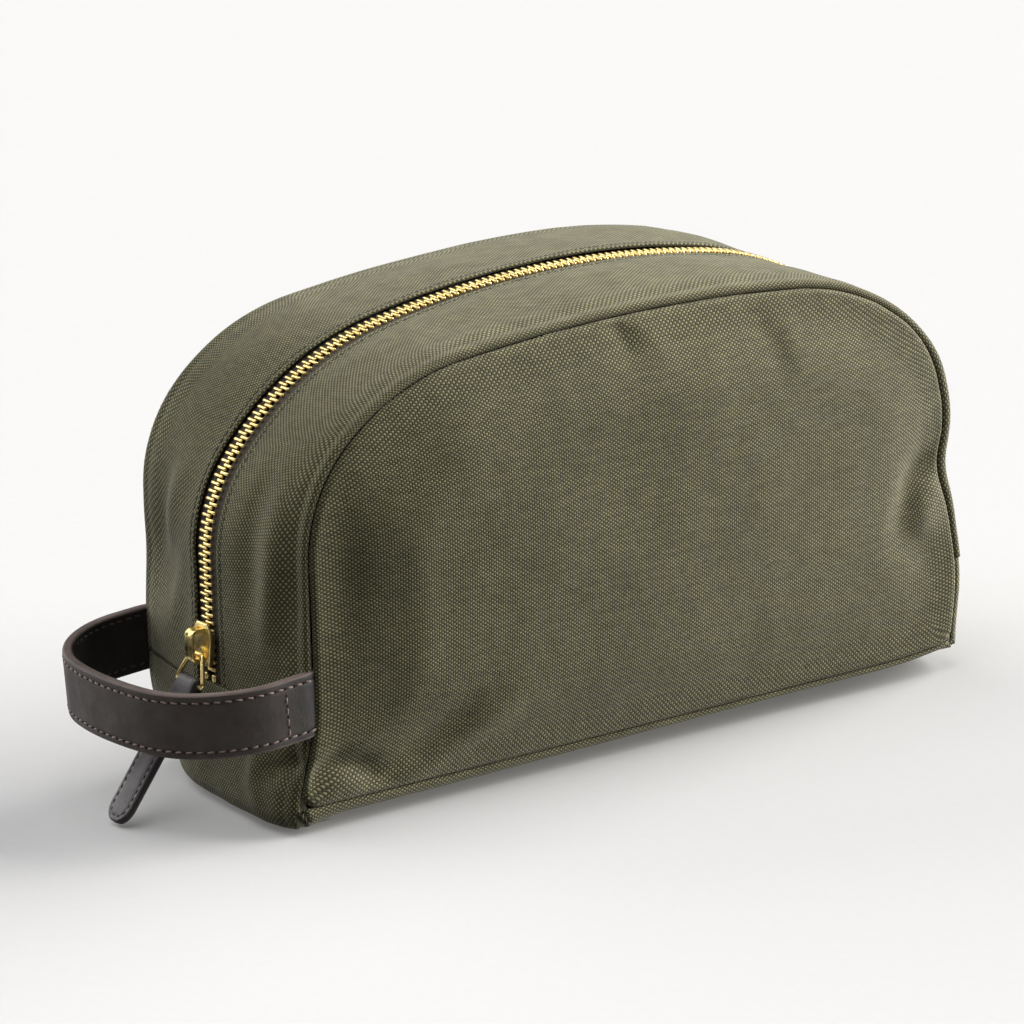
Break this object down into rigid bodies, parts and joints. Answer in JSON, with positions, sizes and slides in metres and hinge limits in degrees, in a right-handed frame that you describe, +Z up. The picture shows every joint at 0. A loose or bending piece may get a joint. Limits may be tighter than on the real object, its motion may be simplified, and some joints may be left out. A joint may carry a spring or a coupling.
{
  "type": "wash bag",
  "caption": "Zipped canvas wash bag with an arched front, flat base, leather loop handle on one end and a leather zip pull.",
  "frame": {"origin": "centre of the flat underside of the base", "axes": "+X along the bag's length, the handle at -X; +Y to the back, the front panel faces -Y; +Z up"},
  "size_m": [0.3208, 0.099, 0.1577],
  "materials": {
    "canvas": "coarse woven canvas, matte",
    "lining": "fine woven lining, slight sheen",
    "zip_tape": "herringbone tape, matte",
    "leather": "smooth vegetable leather, painted edges, satin",
    "brass": "polished"
  },
  "bodies": {
    "bag": {"back_panel": "canvas", "gusset_back": "canvas", "zip_tape_back": "zip_tape", "zip_teeth_back": "brass", "zip_top_stop_back": "brass", "zip_bottom_stop": "brass", "lining_back": "lining", "lining_gusset_back": "lining", "handle_end_back": "leather", "handle_outer_strap": "leather", "handle_inner_strap": "leather", "base_panel": "canvas", "lining_base": "lining", "end_panel_left": "canvas", "end_panel_right": "canvas", "lining_end_left": "lining", "lining_end_right": "lining"},
    "front_half": {"front_panel": "canvas", "gusset_front": "canvas", "zip_tape_front": "zip_tape", "zip_teeth_front": "brass", "zip_top_stop_front": "brass", "lining_front": "lining", "lining_gusset_front": "lining", "handle_end_front": "leather"},
    "slider": {"slider_body": "brass", "slider_bail": "brass"},
    "ring": {"pull_ring": "brass"},
    "tab": {"pull_tab": "leather"}
  },
  "joints": [
    {"name": "mouth_open", "type": "hinge", "parent": "bag", "child": "front_half", "pos_m": [0, -0.0492, 0.009], "axis": [1, 0, 0], "range_deg": [0, 20]},
    {"name": "slider_travel", "type": "slide", "parent": "bag", "child": "slider", "axis": [0, 0, 1], "range_m": [0, 0.018]},
    {"name": "ring_swing", "type": "hinge", "parent": "slider", "child": "ring", "pos_m": [-0.1433, 0, 0.0517], "axis": [0, 1, 0], "range_deg": [-15, 2]},
    {"name": "tab_swing", "type": "hinge", "parent": "ring", "child": "tab", "pos_m": [-0.1466, 0, 0.0423], "axis": [0, 1, 0], "range_deg": [-20, 2]}
  ]
}
